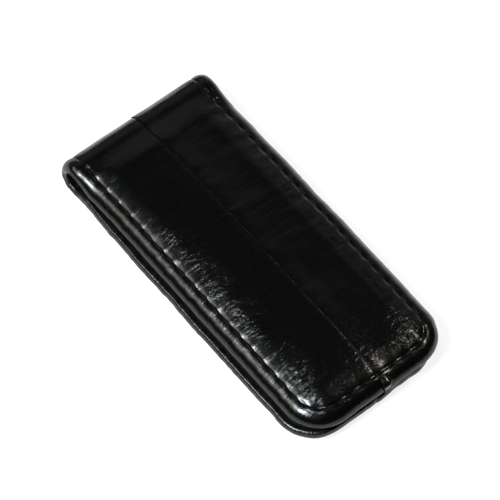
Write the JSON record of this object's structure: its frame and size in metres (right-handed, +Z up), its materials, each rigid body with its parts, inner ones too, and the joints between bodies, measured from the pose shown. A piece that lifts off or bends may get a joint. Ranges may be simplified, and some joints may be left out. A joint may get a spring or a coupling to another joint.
{
  "type": "magnetic leather money clip",
  "caption": "Padded leather strip folded over on itself, with magnets inside that hold the two leaves shut on folded notes.",
  "frame": {"origin": "middle of the closed clip's bounding box, on the surface it lies on", "axes": "+X from the fold to the open end, +Y across to the side of the overlapping right panel, +Z up through the thickness"},
  "size_m": [0.071, 0.0324, 0.01],
  "materials": {
    "outer_leather": "black glazed leather, glossy, with a fine crosswise ripple",
    "lining_leather": "thin black lining leather, half matt, fine grain",
    "thread": "black bonded nylon thread, slight sheen",
    "board": "matt pressed leather board",
    "foam": "matt open foam",
    "magnet": "nickel plated"
  },
  "bodies": {
    "lower_leaf": {"lower_outer_panel_left": "outer_leather", "lower_outer_panel_right": "outer_leather", "lower_lining": "lining_leather", "lower_stiffener_board": "board", "lower_foam_pad": "foam", "lower_front_magnet": "magnet", "lower_rear_magnet": "magnet", "lower_edge_stitching": "thread"},
    "upper_leaf": {"upper_outer_panel_left": "outer_leather", "upper_outer_panel_right": "outer_leather", "upper_lining": "lining_leather", "upper_stiffener_board": "board", "upper_foam_pad": "foam", "upper_front_magnet": "magnet", "upper_rear_magnet": "magnet", "upper_edge_stitching": "thread"},
    "fold_lower": {"fold_lower_panel_left": "outer_leather", "fold_lower_panel_right": "outer_leather", "fold_lower_lining": "lining_leather", "fold_lower_stitching": "thread"},
    "fold_middle": {"fold_middle_panel_left": "outer_leather", "fold_middle_panel_right": "outer_leather", "fold_middle_lining": "lining_leather", "fold_middle_stitching": "thread"},
    "fold_upper": {"fold_upper_panel_left": "outer_leather", "fold_upper_panel_right": "outer_leather", "fold_upper_lining": "lining_leather", "fold_upper_stitching": "thread"}
  },
  "joints": [
    {"name": "fold_bend", "type": "hinge", "parent": "lower_leaf", "child": "fold_lower", "pos_m": [-0.03257, 0, 0.00121], "axis": [0, -1, 0], "range_deg": [0, 45], "stiffness_Nm_per_rad": 0.01},
    {"name": "fold_bend_second", "type": "hinge", "parent": "fold_lower", "child": "fold_middle", "pos_m": [-0.03479, 0, 0.00343], "axis": [0, -1, 0], "range_deg": [0, 45]},
    {"name": "fold_bend_third", "type": "hinge", "parent": "fold_middle", "child": "fold_upper", "pos_m": [-0.03479, 0, 0.00657], "axis": [0, -1, 0], "range_deg": [0, 45]},
    {"name": "fold_bend_fourth", "type": "hinge", "parent": "fold_upper", "child": "upper_leaf", "pos_m": [-0.03257, 0, 0.00879], "axis": [0, -1, 0], "range_deg": [0, 45]}
  ],
  "couplings": [
    {"joint": "fold_bend_second", "follows": "fold_bend", "ratio": 1},
    {"joint": "fold_bend_third", "follows": "fold_bend", "ratio": 1},
    {"joint": "fold_bend_fourth", "follows": "fold_bend", "ratio": 1}
  ]
}
